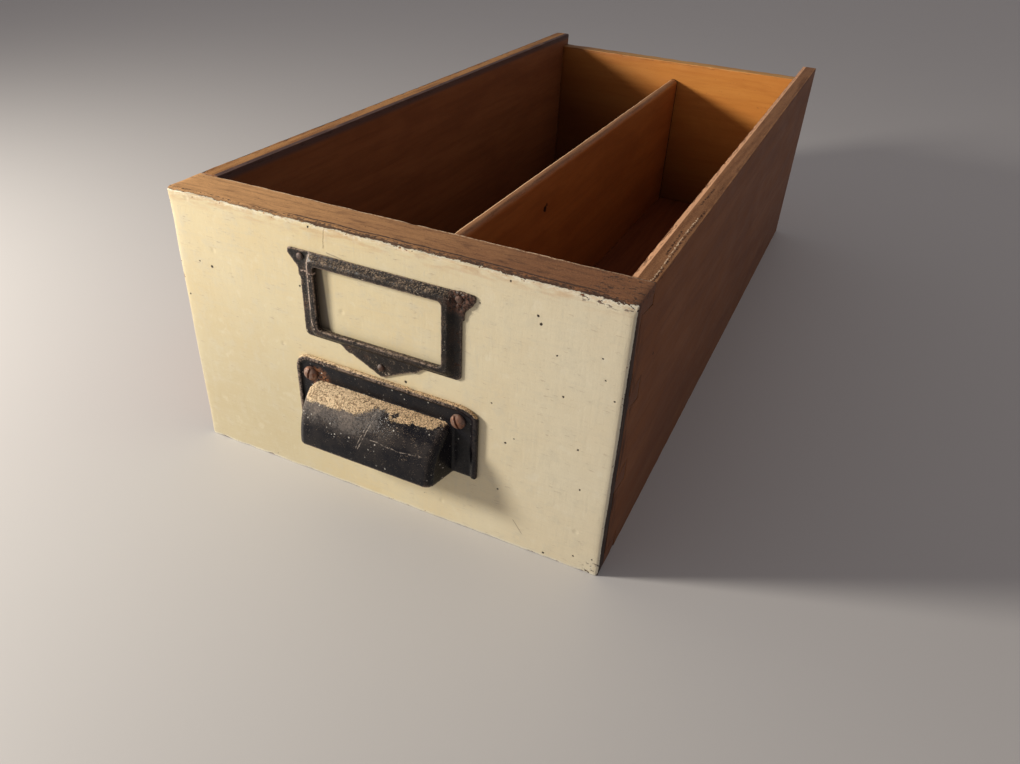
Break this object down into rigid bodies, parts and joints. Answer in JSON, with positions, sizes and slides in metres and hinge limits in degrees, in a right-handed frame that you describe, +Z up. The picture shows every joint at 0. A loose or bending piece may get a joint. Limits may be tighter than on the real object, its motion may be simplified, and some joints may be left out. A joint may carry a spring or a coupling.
{
  "type": "index card drawer",
  "caption": "Long wooden card drawer with a painted front, a lengthwise divider, dovetailed front corners, a stamped label holder and a stamped cup pull.",
  "frame": {"origin": "the middle of the part's outline, on the surface that the drawer stands on", "axes": "+X to the drawer's right seen from its front, +Y from the front to the back, +Z up"},
  "size_m": [0.18, 0.3874, 0.112],
  "materials": {
    "front_paint": "pine painted cream, worn and chipped at the edges",
    "side_wood": "worn brown varnish",
    "back_wood": "yellow brown varnish",
    "bottom_wood": "brown varnish, dusty",
    "divider_wood": "orange brown varnish",
    "black_metal": "black japanned sheet steel, worn, dusty and spotted with rust",
    "rusty_steel": "plain steel, rusty brown"
  },
  "bodies": {
    "root": {"front_board": "front_paint", "left_side": "side_wood", "right_side": "side_wood", "back_board": "back_wood", "bottom_panel": "bottom_wood", "divider": "divider_wood", "label_holder": "black_metal", "cup_pull": "black_metal", "label_holder_pins": "rusty_steel", "pull_screws": "rusty_steel", "bottom_nails": "rusty_steel", "side_nails": "rusty_steel"}
  },
  "joints": []
}
